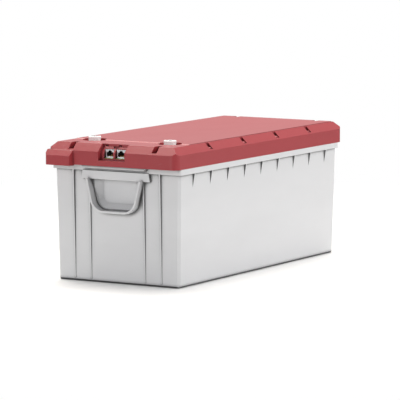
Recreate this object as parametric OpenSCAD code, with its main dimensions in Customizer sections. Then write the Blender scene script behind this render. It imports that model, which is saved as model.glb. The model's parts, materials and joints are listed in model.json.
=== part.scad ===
// Lithium iron phosphate battery in a moulded case, sixteen prismatic cells
// Millimetres. The origin is the middle of the base, +Y runs to the back, +Z is up.

/* [Cells] */
// Width of a cell across the case
cell_w = 148; // [140:1:150]
// Thickness of a cell along the case
cell_t = 27.4; // [25:0.2:30]
// Height of a cell can
cell_h = 116.5; // [110:0.5:120]
// Number of series groups along the case
group_count = 8; // [8]
// Cells in parallel in each group
cells_per_group = 2; // [2]
// Thickness of the insulating sheets between groups
sheet_t = 1.2; // [0.8:0.1:1.8]
// Distance of the cell terminals from the middle of the cell
post_x = 50; // [46:1:54]

/* [Pack frame] */
// Thickness of an end frame
frame_t = 22; // [20:0.5:26]
// Width of an end frame
frame_w = 208.4; // [204:0.4:216]
// Thickness of the flat web of an end frame
frame_web = 3.5; // [2.5:0.5:5]
// Thickness of the ribs of an end frame
rib_t = 3; // [2:0.5:4]
// Half width of the notch in the middle of an end frame
notch_x = 36.4; // [35:0.2:38]
// Height of the bottom of that notch above the pack's underside
notch_z = 120; // [116:1:122]
// Height of the shoulders of an end frame
shoulder_z = 183; // [178:1:186]
// Width of a tower on an end frame
tower_w = 15.5; // [12:0.5:17]
// Height of a tensioning strap
strap_h = 21; // [16:1:22]
// Thickness of a tensioning strap
strap_t = 1.4; // [1:0.2:2]
// Middle height of the lower strap above the pack's underside
strap_low_z = 25.8; // [24:0.2:27]
// Middle height of the upper strap above the pack's underside
strap_high_z = 96.5; // [95:0.5:98]
// Depth of the strap's seat behind the face of an end frame
strap_sink = 11; // [8:0.5:13]

/* [Case] */
// Height of the case rim above the ground
case_h = 187.5; // [184:0.5:192]
// Wall thickness of the case
wall = 3.5; // [3:0.25:4]
// Thickness of the case floor
floor_t = 4.5; // [3.5:0.25:6]
// How far each wall leans out from bottom to top
draft = 3.4; // [2.5:0.2:4.5]
// How far the rim stands out from the wall
rim_out = 3.5; // [3:0.25:5]
// Height of the rim band
rim_h = 9; // [8:0.5:11]
// Room between the end frames and the end walls at the floor
end_gap = 2.6; // [1.6:0.2:4]
// Room between the end frames and the side walls at the floor
side_gap = 4.4; // [3:0.2:6]
// Thickness of the outer stiffening fins
fin_t = 2.2; // [1.6:0.2:3]
// Spacing of the gussets under the rim of the long sides
gusset_pitch = 54.1; // [50:0.1:56]
// Height of those gussets
gusset_h = 23; // [16:1:30]
// Half length of the raised grip bar
grip_x = 58; // [54:1:60]
// How far the raised grip bar stands out from the rim
grip_out = 8.6; // [7:0.2:9]
// Depth of the finger pocket behind the end wall
pocket_in = 10.8; // [9:0.2:11]
// Radius of the finger pocket's corners at its back
scoop_r = 11; // [8:0.5:14]
// Half distance between the centres of those corners
scoop_x = 20; // [14:0.5:24]
// How much the pocket widens on each side for 1 mm towards its mouth
scoop_flare = 0.95; // [0.8:0.05:1.5]

/* [Lid] */
// Height of the lid from the rim to its top face
lid_h = 34.5; // [33:0.5:38]
// Wall thickness of the lid
lid_t = 3; // [2.5:0.25:3.5]
// How far the lid reaches past the rim at each end
lid_over = 13; // [12.5:0.25:16]
// Length of the raised part of the lid's underside at the back end
rear_lip = 7; // [5:0.5:9]
// Height of that raised part above the rim
rear_step = 4; // [2:0.5:6]
// Size of the bevel round the top edge
bevel = 12; // [10:0.5:13]
// Radius of the lid's corners seen from above
lid_r = 12; // [8:0.5:16]
// Width of the bare block on the front corner
block_w = 48; // [30:1:55]
// How far that block stands out of the front face
block_out = 9; // [5:0.5:12]
// Half width of the port recess
port_x = 24.5; // [23.5:0.25:27]
// Depth of the port recess
port_in = 8; // [7:0.25:9]
// Distance of a terminal from the middle of the lid
term_x = 70; // [68:0.5:72]
// Distance of the terminals from the back of the front end frame
term_back = 14.5; // [13:0.5:18]
// Diameter of the round dish that a terminal stands in
dish_d = 39; // [34:0.5:41]
// Depth of that dish
dish_in = 6; // [5:0.25:6.5]

/* [Terminals and screws] */
// Diameter of the white terminal bushing at its top
bushing_d = 20.5; // [19:0.25:23]
// Height of the terminal face above the lid
term_up = 5.6; // [4:0.2:8]
// Diameter of the metal terminal
term_d = 13; // [12:0.5:14]
// Bore of the terminal, the tapping size of an M8 thread
term_bore = 6.8; // [6.8]
// Depth of that bore
term_bore_l = 18; // [12:1:22]
// Diameter of a lid screw
screw_d = 4; // [3.5:0.1:4.5]
// Length of a lid screw under its head
screw_l = 48; // [44:1:52]
// Diameter of a lid screw's head
screw_head = 7.6; // [7:0.1:8]

/* [Electronics] */
// Length of the bridge bracket over the cells
bracket_l = 410; // [390:2:430]
// Width of the bridge bracket
bracket_w = 72; // [68:1:78]
// Height of the bridge bracket above the cells
bracket_h = 19; // [16:0.5:24]
// Length of the management unit
bms_l = 184; // [170:1:200]
// Width of the management unit
bms_w = 68; // [60:1:70]
// Width of a network jack
jack_w = 16.3; // [15.5:0.1:16.8]
// Height of a network jack
jack_h = 13.5; // [13:0.1:14]
// Length of a network jack
jack_l = 20; // [16:0.5:22]
// Spacing of the two network jacks
jack_pitch = 20.6; // [20:0.1:21.5]
// Width of the second board
radio_w = 50; // [40:1:54]
// Length of the second board
radio_l = 34; // [24:1:36]

/* [Hidden] */
$fn = 48;

// Long enough to pass through anything
far = 800;
// Gap left between parts that seat on each other
seat_gap = 0.3;

// Pack lengths and levels
group_t = cells_per_group * cell_t;
group_pitch = group_t + sheet_t + 0.4;
cells_l = group_count * group_pitch + sheet_t;
pack_y = cells_l / 2 + frame_t;
frame_back = cells_l / 2;
cell_top = floor_t + cell_h;
shoulder_top = floor_t + shoulder_z;
cell_gap = (group_pitch - sheet_t - group_t) / 2;
relief_x = 27;
relief_in = 10;
strap_slot_x = 88;

// Case: half sizes of the inside, the outer wall and the rim
in_x0 = frame_w / 2 + side_gap;
in_y0 = pack_y + end_gap;
out_x0 = in_x0 + wall;
out_y0 = in_y0 + wall;
out_x1 = out_x0 + draft;
out_y1 = out_y0 + draft;
rim_x = out_x1 + rim_out;
rim_y = out_y1 + rim_out;
rim_in = rim_out + wall;
foot = 3;

// Lid levels and half sizes
lid_x = rim_x;
lid_y = rim_y + lid_over;
lid_top = case_h + lid_h;
ceiling = lid_top - lid_t;
tower_top = lid_top - dish_in - lid_t - 0.9;
bevel_in = bevel - lid_t * (2 - sqrt(2));
panel_h = 0.8;
panel_edge = 1.5;
panel_slope = 1.8;
gasket_t = 1.5;

// Grip: bars, flange round the finger pocket and the pocket itself
outer_fin_x = 80;
inner_fin_x = 50;
fin_low = 5;
grip_low = case_h - 4.2;
grip_top = case_h + 5;
bar_x = 63.4;
bar_low = case_h - 21.9;
bar_top = case_h - 8.2;
u_top_x = 50.6;
u_low = case_h - 74.5;
u_r = 24;
u_lean = 13.8;
u_t = 3.2;
u_front = rim_y + 9;
u_cx = u_top_x - (u_r + (bar_low - u_low - u_r) * sin(u_lean)) / cos(u_lean);
scoop_z = u_low + 25.2;

// Screws
side_screws = [-3 * gusset_pitch, -gusset_pitch, gusset_pitch, 3 * gusset_pitch];
screw_in = 7.3;
side_screw_x = rim_x - screw_in;
end_screw_x = 76.7;
end_screw_y = rim_y - screw_in;
boss_d = screw_d + 5.2;
boss_l = 40;
slot_z = lid_top - 10;
slot_w = 9;
screw_low = slot_z - screw_l;

// Terminals
term_y = -(frame_back - term_back);
dish_z = lid_top - dish_in;
sleeve_d = 17;
sleeve_low = case_h - 7;
stem_d = 10;
stem_low = sleeve_low - 9;

// Port recess: its upright wall, its own bevel and the step up to the top
port_low = lid_top - 25.6;
port_knee = port_low + 12.2;
port_high = lid_top - 4.3;
port_y = lid_y - port_in;
port_back = port_y - (port_high - port_knee);
jack_low = port_low + 3.6;
jack_face = port_y - 4.8;
header_w = 20;
header_l = 12;
header_h = 6.4;
board_t = 1.6;
board_x = 30;

// Bridge bracket and management unit levels
sheet_metal = 2;
pad_t = 0.8;
bracket_top = cell_top + bracket_h;
bms_y = 10.5;
tray_z = bracket_top;
bms_board_z = tray_z + 10;
heat_z = bms_board_z + board_t + 4.6;
lug_z = bms_board_z + board_t + 4;
lug_x = 20;
lug_in = 14;
lug_w = 12;
lug_l = 10;
riser_w = 12;
riser_t = 2.5;
riser_x = post_x + 10.5;
board_screw_x = 25.5;
board_screw_y = [-248, -221];
radio_x = 6;
radio_y = 2 - frame_back;

// Busbars
post_h = 3;
post_d = 14;
stud_d = 6;
bar_t = 2;
bar_z = cell_top + post_h;
bar_w = 20;

// Draws a profile of (x, z) points or shapes along the case
module along_y(l = far) {
    rotate([90, 0, 0]) linear_extrude(l, center = true) children();
}

// Draws a profile of (y, z) points or shapes across the case
module along_x(l = far) {
    rotate([90, 0, 90]) linear_extrude(l, center = true) children();
}

// A box given by its two corners
module span(a, b) {
    translate(a) cube(b - a);
}

// The same thing on both sides of the middle, left and right
module both_x() {
    children();
    mirror([1, 0, 0]) children();
}

// The same thing at the front and at the back
module both_y() {
    children();
    mirror([0, 1, 0]) children();
}

// Rectangle with round corners, centred
module rounded(w, l, r) {
    square([w - 2 * r, l], center = true);
    square([w, l - 2 * r], center = true);
    for (x = [-1, 1], y = [-1, 1]) {
        translate([x * (w / 2 - r), y * (l / 2 - r)]) circle(r);
    }
}

// Block whose four walls lean out from z0 to z1
module leaning_block(x0, y0, x1, y1, z0, z1) {
    intersection() {
        along_y() polygon([[-x0, z0], [x0, z0], [x1, z1], [-x1, z1]]);
        along_x() polygon([[-y0, z0], [y0, z0], [y1, z1], [-y1, z1]]);
    }
}

// Takes a flat off each upright edge of a leaning block
module edge_flats(x0, y0, size) {
    lean = atan(draft * sqrt(2) / case_h);
    for (a = [-1, 1], b = [-1, 1]) {
        translate([a * x0, b * y0, 0]) rotate([0, 0, atan2(b, a)]) rotate([0, lean, 0])
            translate([-size / sqrt(2), -20, -10]) cube([20, 40, case_h + 60]);
    }
}

// Half width and half length of the outer wall at a height
function wall_x(z) = out_x0 + draft * z / case_h;
function wall_y(z) = out_y0 + draft * z / case_h;

// Outer wall of the case, with the small bevel at its foot
module case_body() {
    difference() {
        leaning_block(out_x0, out_y0, out_x1, out_y1, 0, case_h);
        edge_flats(out_x0, out_y0, 4);
        both_x() along_y() polygon([[out_x0 - foot, -1], [out_x0 + 5, -1], [out_x0 + 5, foot + 5],
            [out_x0 - foot, 0]]);
        both_y() along_x() polygon([[out_y0 - foot, -1], [out_y0 + 5, -1], [out_y0 + 5, foot + 5],
            [out_y0 - foot, 0]]);
    }
}

// Space inside the case
module case_inside() {
    difference() {
        leaning_block(in_x0, in_y0, in_x0 + draft * (case_h + 1) / case_h, in_y0 + draft * (case_h + 1) / case_h,
            floor_t, case_h + 1);
        edge_flats(in_x0, in_y0, 2);
    }
}

// U outline round the finger pocket, grown outward or inward. Its arcs are a hair larger than
// the straights ask for, so that the two cross instead of only touching.
module u_outline(grow) {
    r = u_r + grow;
    top = bar_low + 8;
    top_x = u_top_x + grow / cos(u_lean) + (top - bar_low) * tan(u_lean);
    cz = u_low + u_r;
    tan_x = u_cx + r * cos(u_lean);
    tan_z = cz - r * sin(u_lean);
    polygon([[-top_x, top], [top_x, top], [tan_x, tan_z], [u_cx, cz - r], [-u_cx, cz - r], [-tan_x, tan_z]]);
    for (x = [-u_cx, u_cx]) translate([x, cz]) circle(r + 0.05);
}

// Finger pocket as a solid: a scoop with round corners that widens to its mouth inside the U,
// grown by a wall
module pocket(grow) {
    back_y = wall_y(case_h - 40) - pocket_in - grow;
    run = rim_y + 1 - back_y;
    r0 = scoop_r + grow * (sqrt(1 + scoop_flare * scoop_flare) - scoop_flare);
    r1 = r0 + scoop_flare * run;
    top = case_h - rim_h - 1 + grow;
    intersection() {
        union() {
            both_x() translate([scoop_x, -back_y, scoop_z]) rotate([90, 0, 0]) cylinder(r1 = r0, r2 = r1, h = run);
            along_x(2 * scoop_x) polygon([[-back_y, scoop_z + 1], [-back_y, scoop_z - r0],
                [-back_y - run, scoop_z - r1], [-back_y - run, scoop_z + 1]]);
            translate([0, 0, scoop_z]) linear_extrude(top - scoop_z) polygon([[-scoop_x - r0, -back_y],
                [scoop_x + r0, -back_y], [scoop_x + r1, -back_y - run], [-scoop_x - r1, -back_y - run]]);
        }
        along_y() u_outline(-u_t - 2.5 + grow);
    }
}

// Raised grip bar on the rim, cored from below
module raised_bar() {
    difference() {
        along_x(2 * grip_x) polygon([[-rim_y - grip_out, grip_low], [-rim_y + 1, grip_low],
            [-rim_y + 1, case_h], [-rim_y, case_h], [-rim_y, grip_top], [-rim_y - grip_out + 1, grip_top],
            [-rim_y - grip_out, grip_top - 1]]);
        span([-grip_x + 3, -rim_y - grip_out + 2.6, grip_low - 1], [grip_x - 3, -rim_y - 2.4, grip_top - 2.6]);
    }
}

// Lower bar that the fingers curl up behind
module lower_bar() {
    difference() {
        translate([0, -rim_y + 1.6, 0]) along_y(5.6)
            polygon([[-bar_x, bar_low], [bar_x, bar_low], [bar_x - 2.4, bar_top], [-bar_x + 2.4, bar_top]]);
        along_x() polygon([[-rim_y - 2, bar_top - 1.4], [-rim_y + 0.4, bar_top + 1], [-rim_y - 2, bar_top + 1]]);
    }
}

// U flange that stands round the finger pocket
module pocket_flange() {
    translate([0, -(u_front + out_y0 - 1) / 2, 0]) along_y(u_front - out_y0 + 1) intersection() {
        difference() {
            u_outline(0);
            u_outline(-u_t);
        }
        translate([-u_top_x - 10, 0]) square([2 * u_top_x + 20, bar_low + 1]);
    }
}

// Fin of an end wall: flush with the rim at the top, almost nothing at the foot
module end_fin(x, top) {
    translate([x, 0, 0]) along_x(fin_t) polygon([[-wall_y(fin_low) + 1.5, fin_low],
        [-wall_y(fin_low) - 0.6, fin_low], [-rim_y + (case_h - top) * 0.037, top], [-wall_y(top) + 1.5, top]]);
}

// Gusset under the rim of a long side
module gusset(y) {
    top = case_h - rim_h + 1;
    translate([0, y, 0]) along_y(fin_t) polygon([[rim_x, top], [wall_x(top - gusset_h), top - gusset_h],
        [wall_x(top - gusset_h) - 1.5, top - gusset_h], [wall_x(top) - 1.5, top]]);
}

// Where the lid screws go
module at_screws() {
    for (x = [-side_screw_x, side_screw_x], y = side_screws) translate([x, y, 0]) children();
    for (x = [-end_screw_x, end_screw_x], y = [-end_screw_y, end_screw_y]) translate([x, y, 0]) children();
}

// Ribs that hold the end frames sideways
module locating_ribs() {
    both_x() both_y() translate([0, pack_y - frame_t / 2, 0]) along_y(fin_t)
        polygon([[frame_w / 2 + seat_gap, floor_t], [frame_w / 2 + seat_gap, 140], [wall_x(140) - wall + 1, 160],
            [out_x0 - 1, floor_t]]);
    both_x() for (i = [-3:3]) translate([0, i * gusset_pitch, 0]) along_y(fin_t)
        polygon([[in_x0 - 1.5, floor_t - 1], [in_x0 + draft - 1.5, case_h - 12], [wall_x(case_h) - 1, case_h - 6],
            [out_x0 - 1, floor_t - 1]]);
}

// Outside of the rim
module rim_band() {
    translate([0, 0, case_h - rim_h]) linear_extrude(rim_h) rounded(2 * rim_x, 2 * rim_y, 5);
}

// Posts inside the walls that the lid screws go into, cut off at the outer faces
module screw_bosses() {
    intersection() {
        at_screws() translate([0, 0, case_h - boss_l]) cylinder(d = boss_d, h = boss_l);
        union() {
            case_body();
            rim_band();
        }
    }
}

// Tub with its rim, fins, grips and screw posts
module case() {
    color("#c9cacb") {
        difference() {
            union() {
                difference() {
                    union() {
                        case_body();
                        difference() {
                            rim_band();
                            translate([0, 0, case_h - rim_h - 1]) linear_extrude(rim_h - 2.4)
                                rounded(2 * rim_x - 4, 2 * rim_y - 4, 4);
                        }
                        both_x() for (i = [-4:4]) gusset(i * gusset_pitch);
                        both_y() for (x = [-outer_fin_x, outer_fin_x]) end_fin(x, case_h - rim_h + 1);
                        both_y() for (x = [-inner_fin_x, inner_fin_x]) end_fin(x, bar_low + 1);
                        both_y() pocket_flange();
                    }
                    case_inside();
                }
                intersection() {
                    case_body();
                    union() {
                        locating_ribs();
                        both_y() pocket(2.8);
                    }
                }
                screw_bosses();
            }
            both_y() pocket(0);
            at_screws() translate([0, 0, screw_low - 1.5]) cylinder(d = screw_d + 0.1, h = boss_l);
        }
        both_y() {
            raised_bar();
            lower_bar();
        }
    }
}

// Lid envelope, drawn in from its outer faces by a wall thickness
module lid_shape(t, low) {
    b = t == 0 ? bevel : bevel_in;
    intersection() {
        translate([0, 0, low]) linear_extrude(lid_top - t - low)
            rounded(2 * (lid_x - t), 2 * (lid_y - t), lid_r - t);
        along_y() polygon([[-lid_x + t, 0], [lid_x - t, 0], [lid_x - t, lid_top - t - b],
            [lid_x - t - b, lid_top - t], [-lid_x + t + b, lid_top - t], [-lid_x + t, lid_top - t - b]]);
        along_x() polygon([[-lid_y + t, 0], [lid_y - t, 0], [lid_y - t, lid_top - t - b],
            [lid_y - t - b, lid_top - t], [-lid_y + t + b, lid_top - t], [-lid_y + t, lid_top - t - b]]);
    }
}

// Low raised panel on top. It starts in line with the terminals with a sloping step.
module top_panel() {
    x = lid_x - bevel - panel_edge;
    y1 = lid_y - bevel - panel_edge;
    difference() {
        translate([0, (term_y + y1) / 2, lid_top - 1]) linear_extrude(panel_h + 1) rounded(2 * x, y1 - term_y, 3);
        along_x() polygon([[term_y - 1, lid_top], [term_y, lid_top], [term_y + panel_slope, lid_top + panel_h],
            [term_y + panel_slope, lid_top + 2], [term_y - 1, lid_top + 2]]);
    }
}

// Steps in the lid's underside on both sides of the rear grip, grown by a wall thickness
module rear_notches(t) {
    both_x() span([grip_x + 4 - t, lid_y - rear_lip - t, case_h - 1], [lid_x + 1, lid_y + 1, case_h + rear_step + t]);
}

// What stands inside the lid's shell: end walls, ledge, screw posts, dish floors, port housing
module lid_inner_parts() {
    both_y() span([-lid_x, rim_y - lid_t, case_h], [lid_x, rim_y, lid_top]);
    rear_notches(lid_t);
    difference() {
        span([-lid_x, -rim_y, case_h], [lid_x, rim_y, case_h + lid_t]);
        span([-rim_x + rim_in + 2.7, -rim_y + rim_in + 2.7, case_h - 1],
            [rim_x - rim_in - 2.7, rim_y - rim_in - 2.7, case_h + lid_t + 1]);
    }
    at_screws() translate([0, 0, case_h]) cylinder(d = boss_d, h = lid_h);
    both_x() for (y = side_screws) span([side_screw_x - slot_w / 2 - lid_t, y - slot_w / 2 - lid_t, slot_z - lid_t],
        [lid_x, y + slot_w / 2 + lid_t, lid_top]);
    both_y() for (x = [-end_screw_x, end_screw_x]) span([x - slot_w / 2 - lid_t, end_screw_y - slot_w / 2 - lid_t,
        slot_z - lid_t], [x + slot_w / 2 + lid_t, lid_y, lid_top]);
    for (x = [-term_x, term_x]) translate([x, term_y, dish_z - lid_t])
        cylinder(d = dish_d + 2 * lid_t, h = 20, $fn = 72);
    along_x(2 * (port_x + lid_t)) polygon([[-lid_y, port_low - lid_t], [-port_y + lid_t, port_low - lid_t],
        [-port_y + lid_t, port_knee - 1.2], [-port_back + lid_t, port_high - 1.2], [-port_back + lid_t, lid_top],
        [-lid_y, lid_top]]);
    span([-port_x - 10, -port_y, jack_low - board_t - 0.4 - lid_t],
        [port_x + 10, -rim_y + lid_t, jack_low - board_t - 0.4]);
    both_x() span([port_x + 7, -port_y, jack_low - board_t - 0.4 - lid_t], [port_x + 10, -rim_y + lid_t, lid_top]);
    span([-port_x - 10, -port_y, case_h + 6], [port_x + 10, -port_y + lid_t, lid_top]);
    at_board_screws() translate([0, 0, jack_low]) cylinder(d = 6, h = 40);
}

// Bare block on the front left corner, hollow from below
module corner_block() {
    difference() {
        intersection() {
            translate([0, 0, case_h - 1.5]) linear_extrude(lid_h) polygon([[-lid_x, -lid_y + bevel],
                [-lid_x, -lid_y - block_out + 3.5], [-lid_x + 3.5, -lid_y - block_out],
                [-lid_x + block_w - 2, -lid_y - block_out], [-lid_x + block_w, -lid_y],
                [-lid_x + block_w, -lid_y + bevel]]);
            along_x() polygon([[-lid_y - block_out, 0], [-lid_y + bevel, 0], [-lid_y + bevel, lid_top - bevel],
                [-lid_y - 0.5, lid_top - bevel], [-lid_y - block_out, lid_top - bevel - block_out + 0.5]]);
        }
        lid_shape(lid_t, case_h - 2);
        span([-lid_x + lid_t, -lid_y - block_out + lid_t, case_h - 2],
            [-lid_x + block_w - 5, -lid_y - 1, lid_top - bevel - block_out]);
    }
}

// Everything cut out of the lid: screw slots, dishes, port recess and windows
module lid_cuts() {
    rear_notches(0);
    both_x() for (y = side_screws) span([side_screw_x - slot_w / 2, y - slot_w / 2, slot_z],
        [lid_x + 1, y + slot_w / 2, lid_top + 1]);
    both_y() for (x = [-end_screw_x, end_screw_x]) span([x - slot_w / 2, end_screw_y - slot_w / 2, slot_z],
        [x + slot_w / 2, lid_y + 1, lid_top + 1]);
    at_screws() translate([0, 0, case_h - 10]) cylinder(d = screw_d + 0.6, h = lid_h);
    for (x = [-term_x, term_x]) translate([x, term_y, 0]) {
        translate([0, 0, dish_z]) cylinder(d = dish_d, h = 20, $fn = 72);
        cylinder(d = stem_d + 0.8, h = lid_top);
    }
    along_x(2 * port_x) polygon([[-lid_y - 1, port_low], [-port_y, port_low], [-port_y, port_knee],
        [-port_back, port_high], [-port_back, lid_top + 1], [-lid_y - 1, lid_top + 1]]);
    for (x = [-jack_pitch / 2, jack_pitch / 2]) span([x - jack_w / 2 - 0.6, -lid_y, jack_low - 0.5],
        [x + jack_w / 2 + 0.6, -rim_y + 12, jack_low + jack_h + 0.5]);
    translate([0, 0, case_h - 1]) linear_extrude(gasket_t + 1.1) gasket_ring(0.05);
    span([-5, -port_back - 2.6, port_high - 3], [5, -port_back + 1, port_high + 1]);
    for (x = [-18, 7]) span([x - 3, -port_back - 1, port_high + 0.6], [x + 3, -port_back + 6, port_high + 2.6]);
    at_board_screws() translate([0, 0, jack_low - 1]) cylinder(d = 3.1, h = 10);
    span([-board_x - 1.5, -port_y + lid_t, jack_low - board_t - 0.4],
        [board_x + 1.5, -rim_y + lid_t + 1, jack_low + 2]);
}

// Bevelled lid with its skirt, panel, dishes, sleeves and hold-down ribs
module lid() {
    color("#b0494f") difference() {
        union() {
            difference() {
                lid_shape(0, case_h);
                lid_shape(lid_t, case_h - 1);
            }
            intersection() {
                lid_shape(0, case_h);
                lid_inner_parts();
            }
            difference() {
                translate([0, 0, case_h - 4]) linear_extrude(4 + 1)
                    rounded(2 * (rim_x - rim_in - 0.5), 2 * (rim_y - rim_in - 0.5), 4);
                translate([0, 0, case_h - 5]) linear_extrude(7)
                    square([2 * (rim_x - rim_in - 2.7), 2 * (rim_y - rim_in - 2.7)], center = true);
                at_screws() translate([0, 0, case_h - 5]) cylinder(d = boss_d + 1, h = 5);
            }
            top_panel();
            for (x = [-term_x, term_x]) translate([x, term_y, sleeve_low])
                cylinder(d = sleeve_d, h = dish_z - sleeve_low);
            both_x() both_y() for (x = [frame_w / 2 - tower_w / 2, notch_x + 6 + tower_w / 2])
                span([x - 1, pack_y - frame_t + 3, tower_top + 0.4], [x + 1, pack_y - 3, ceiling + 1]);
            corner_block();
        }
        lid_cuts();
    }
}

// Ring outline of the gasket between rim and lid, grown for its groove
module gasket_ring(grow) {
    difference() {
        rounded(2 * rim_x - 2.4 + 2 * grow, 2 * rim_y - 2.4 + 2 * grow, 4);
        rounded(2 * rim_x - 6.8 - 2 * grow, 2 * rim_y - 6.8 - 2 * grow, 2.5);
    }
}

// Soft ring between rim and lid
module lid_gasket() {
    color("#2c2b2d") translate([0, 0, case_h]) linear_extrude(gasket_t) gasket_ring(0);
}

// Lid screws: pan heads with a cross recess, on plain shanks
module lid_screws() {
    color("#b8434b") at_screws() {
        difference() {
            union() {
                translate([0, 0, slot_z - screw_l]) cylinder(d = screw_d, h = screw_l + 0.5);
                translate([0, 0, slot_z]) cylinder(d = screw_head, h = 1.6);
                translate([0, 0, slot_z + 1.6]) cylinder(d1 = screw_head, d2 = screw_head - 2.6, h = 1.1);
            }
            for (a = [0, 90]) rotate(a) translate([-2.2, -0.5, slot_z + 1.2]) cube([4.4, 1, 3]);
        }
    }
}

// Metal terminal with a tapped hole, its stem reaching down through the lid
module terminal(side) {
    color("#d8d9da") translate([side * term_x, term_y, 0]) difference() {
        union() {
            translate([0, 0, stem_low]) cylinder(d = stem_d, h = lid_top + term_up - stem_low - 1);
            translate([0, 0, dish_z + 2]) cylinder(d = term_d, h = lid_top + term_up - dish_z - 1.6);
            translate([0, 0, stem_low - 3]) cylinder(d = 16, h = 3, $fn = 6);
        }
        translate([0, 0, lid_top + term_up + 0.4 - term_bore_l]) cylinder(d = term_bore, h = term_bore_l + 1);
    }
}

// White bushing round the terminal, standing in the dish
module bushing(side) {
    r = bushing_d / 2;
    face = lid_top + term_up;
    color("white") translate([side * term_x, term_y, 0]) rotate_extrude($fn = 72) polygon([
        [stem_d / 2 + 0.1, dish_z], [r + 2, dish_z], [r + 2, dish_z + 1.4], [r - 1, dish_z + 2.2], [r, face - 0.8],
        [r - 0.8, face], [term_d / 2 + 0.1, face], [term_d / 2 + 0.1, dish_z + 2], [stem_d / 2 + 0.1, dish_z + 2]]);
}

// Outline of an end frame seen from the front, (x, z)
module frame_outline() {
    hw = frame_w / 2;
    in0 = notch_x + 6;
    zt = tower_top;
    c = 3;
    polygon([[-hw, floor_t], [hw, floor_t], [hw, zt - c], [hw - c, zt], [hw - tower_w + c, zt],
        [hw - tower_w, zt - c], [hw - tower_w, shoulder_top + 1.5], [in0 + tower_w, shoulder_top + 1.5],
        [in0 + tower_w, zt - c], [in0 + tower_w - c, zt], [in0 + c, zt], [in0, zt - c], [in0, shoulder_top],
        [notch_x, shoulder_top], [notch_x, floor_t + notch_z], [-notch_x, floor_t + notch_z],
        [-notch_x, shoulder_top], [-in0, shoulder_top], [-in0, zt - c], [-in0 - c, zt],
        [-in0 - tower_w + c, zt], [-in0 - tower_w, zt - c], [-in0 - tower_w, shoulder_top + 1.5],
        [-hw + tower_w, shoulder_top + 1.5], [-hw + tower_w, zt - c], [-hw + tower_w - c, zt],
        [-hw + c, zt], [-hw, zt - c]]);
}

// Rib pattern of an end frame, (x, z)
module frame_ribs() {
    hw = frame_w / 2;
    in0 = notch_x + 6;
    low = floor_t - 1;
    high = tower_top + 1;
    upright = [hw - rib_t / 2, hw - tower_w + rib_t / 2, in0 + tower_w - rib_t / 2, notch_x + rib_t / 2, 12.5];
    level = [0, 11.8, 39.5, 60.9, 83, 110.3, notch_z, 131, 146.9, 167, shoulder_z];
    for (x = upright, s = [-1, 1]) translate([s * x - rib_t / 2, low]) square([rib_t, high - low]);
    for (s = [-1, 1]) translate([s * (in0 + rib_t / 2) - rib_t / 2, shoulder_top - rib_t])
        square([rib_t, high - shoulder_top + rib_t]);
    for (z = level) translate([-hw, floor_t + max(0, z - rib_t)]) square([frame_w, rib_t]);
    for (x = [hw - tower_w / 2, in0 + tower_w / 2], s = [-1, 1]) translate([s * x - tower_w / 2, tower_top - rib_t])
        square([tower_w, rib_t]);
}

// Outline of a strap loop seen from above, grown outward
module strap_loop(grow) {
    rounded(cell_w + 1 + 2 * grow, 2 * (pack_y - strap_sink) + 2 * grow - 2 * strap_t, 10 + grow);
}

// Front end frame: flat web inside, waffle ribs outside, seats and slots for the two straps
module end_frame() {
    difference() {
        union() {
            translate([0, -frame_back - frame_web / 2, 0]) along_y(frame_web) frame_outline();
            translate([0, -frame_back - frame_t / 2, 0]) along_y(frame_t) intersection() {
                frame_outline();
                frame_ribs();
            }
        }
        span([-relief_x, -pack_y - 1, floor_t - 1], [relief_x, -pack_y + relief_in, floor_t + notch_z - rib_t]);
        for (z = [strap_low_z, strap_high_z]) translate([0, 0, floor_t + z - strap_h / 2 - 1]) difference() {
            span([-strap_slot_x, -pack_y - 1, 0], [strap_slot_x, -frame_back + 1, strap_h + 2]);
            linear_extrude(far, center = true) strap_loop(-0.05);
        }
    }
}

// Tensioning strap round the cells and both end frames
module strap(z) {
    color("#9bcb57") translate([0, 0, floor_t + z - strap_h / 2]) linear_extrude(strap_h) difference() {
        strap_loop(strap_t);
        strap_loop(0);
    }
}

// Places a thing at the middle of each cell, from front to back
function cell_y(n) = -cells_l / 2 + sheet_t + cell_gap + floor(n / cells_per_group) * group_pitch
    + (n % cells_per_group + 0.5) * cell_t;

// Cell: can with round edges, top plate, vent and two posts
module cell(n) {
    translate([0, cell_y(n), floor_t]) {
        color("#5e86ba") linear_extrude(cell_h - 1) rounded(cell_w, cell_t - 0.05, 3);
        color("#b9bdc2") difference() {
            translate([0, 0, cell_h - 1]) linear_extrude(1) rounded(cell_w - 2, cell_t - 2, 2.4);
            translate([0, 0, cell_h - 0.5]) linear_extrude(1) rounded(30, 12, 5.9);
        }
        color("#b9bdc2") for (x = [-post_x, post_x]) translate([x, 0, cell_h]) difference() {
            cylinder(d = post_d, h = post_h);
            translate([0, 0, -1]) cylinder(d = stud_d + 0.4, h = post_h + 2);
        }
        color("#b9bdc2") translate([26, 0, cell_h]) cylinder(d = 5, h = 0.6);
    }
}

// Insulating sheets between the groups and against the end frames
module cell_separators() {
    color("#7f8d45") for (i = [0:group_count]) {
        translate([0, -cells_l / 2 + i * group_pitch + sheet_t / 2, floor_t + cell_h / 2])
            cube([cell_w, sheet_t, cell_h], center = true);
    }
}

// Busbar over the cells from number a to number b on one side
module busbar(side, a, b) {
    y0 = cell_y(a) - 9;
    y1 = cell_y(b) + 9;
    color("#c9ccd0") translate([side * post_x, 0, bar_z]) difference() {
        translate([0, (y0 + y1) / 2, 0]) linear_extrude(bar_t) rounded(bar_w, y1 - y0, 3);
        for (n = [a:b]) translate([0, cell_y(n), -1]) cylinder(d = stud_d + 0.4, h = bar_t + 2);
    }
}

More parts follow.
